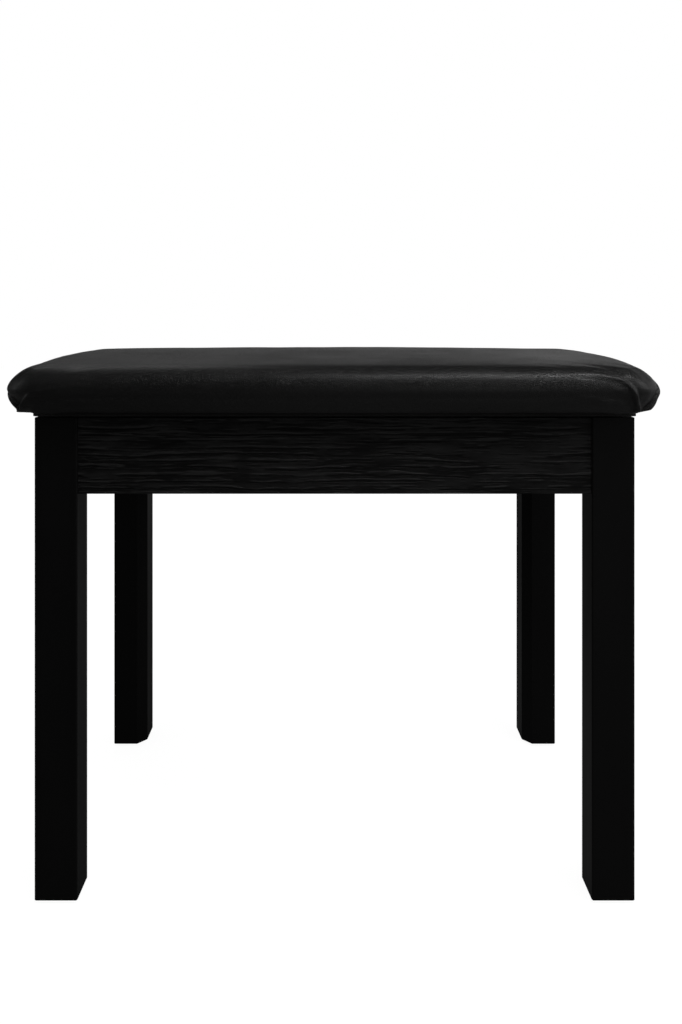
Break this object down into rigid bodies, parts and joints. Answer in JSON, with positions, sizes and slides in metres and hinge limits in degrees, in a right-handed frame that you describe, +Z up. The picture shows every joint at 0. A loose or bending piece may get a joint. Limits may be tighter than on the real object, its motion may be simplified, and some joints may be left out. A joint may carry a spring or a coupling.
{
  "type": "piano bench",
  "caption": "Rectangular piano bench with a padded lid that lifts on a rear hinge over a shallow music box, on straight square legs joined by deep aprons.",
  "frame": {"origin": "on the floor under the middle of the bench, halfway along its length and its depth", "axes": "+X along the bench to the right of someone facing it from the front, +Y from the front to the hinged rear, +Z up"},
  "size_m": [0.576, 0.33, 0.4839],
  "materials": {
    "leg_wood": "satin black lacquer, smooth",
    "apron_wood": "satin black stain over open grain",
    "dowel_wood": "raw beech",
    "bottom_board": "black faced hardboard",
    "plywood": "raw plywood",
    "lining_board": "black faced board",
    "foam": "open-cell foam",
    "cover_leather": "pebbled black leatherette",
    "zinc_steel": "zinc plated",
    "screw_steel": "zinc plated",
    "stay_steel": "nickel plated",
    "hinge_brass": "brass plated",
    "hinge_pin_steel": "bright",
    "glide_nylon": "moulded nylon",
    "slider_nylon": "moulded nylon",
    "bumper_rubber": "soft rubber"
  },
  "bodies": {
    "frame": {"apron_dowels": "dowel_wood", "apron_front": "apron_wood", "apron_left": "apron_wood", "apron_rear": "apron_wood", "apron_right": "apron_wood", "bolt_washers": "zinc_steel", "bottom_panel": "bottom_board", "bracket_screws": "screw_steel", "corner_bracket_front_left": "zinc_steel", "corner_bracket_front_right": "zinc_steel", "corner_bracket_rear_left": "zinc_steel", "corner_bracket_rear_right": "zinc_steel", "foot_glide_front_left": "glide_nylon", "foot_glide_front_right": "glide_nylon", "foot_glide_rear_left": "glide_nylon", "foot_glide_rear_right": "glide_nylon", "hinge_leaf_frame": "hinge_brass", "hinge_pin": "hinge_pin_steel", "hinge_screws_frame": "screw_steel", "leg_bolts": "zinc_steel", "leg_front_left": "leg_wood", "leg_front_right": "leg_wood", "leg_rear_left": "leg_wood", "leg_rear_right": "leg_wood", "lid_bumpers": "bumper_rubber", "stay_track_left": "stay_steel", "stay_track_right": "stay_steel", "stay_track_screws": "screw_steel", "wing_nut_front_left": "zinc_steel", "wing_nut_front_right": "zinc_steel", "wing_nut_rear_left": "zinc_steel", "wing_nut_rear_right": "zinc_steel"},
    "lid": {"seat_board": "plywood", "seat_foam": "foam", "seat_cover": "cover_leather", "lid_lining": "lining_board", "lining_screws": "screw_steel", "hinge_leaf_lid": "hinge_brass", "hinge_screws_lid": "screw_steel", "stay_bracket_left": "stay_steel", "stay_bracket_right": "stay_steel", "stay_bracket_screws": "screw_steel", "stay_rivet_left": "stay_steel", "stay_rivet_right": "stay_steel"},
    "stay_left": {"stay_arm_left": "stay_steel", "stay_slider_left": "slider_nylon"},
    "stay_right": {"stay_arm_right": "stay_steel", "stay_slider_right": "slider_nylon"}
  },
  "joints": [
    {"name": "lid_hinge", "type": "hinge", "parent": "frame", "child": "lid", "pos_m": [0, 0.1435, 0.4292], "axis": [-1, 0, 0], "range_deg": [0, 75]},
    {"name": "stay_pivot_left", "type": "hinge", "parent": "lid", "child": "stay_left", "pos_m": [-0.241, 0.0535, 0.4212], "axis": [-1, 0, 0], "range_deg": [-139.78, 0]},
    {"name": "stay_pivot_right", "type": "hinge", "parent": "lid", "child": "stay_right", "pos_m": [0.241, 0.0535, 0.4212], "axis": [-1, 0, 0], "range_deg": [-139.78, 0]}
  ],
  "couplings": [
    {"joint": "stay_pivot_left", "follows": "lid_hinge", "ratio": -1.8631},
    {"joint": "stay_pivot_right", "follows": "lid_hinge", "ratio": -1.8631}
  ]
}
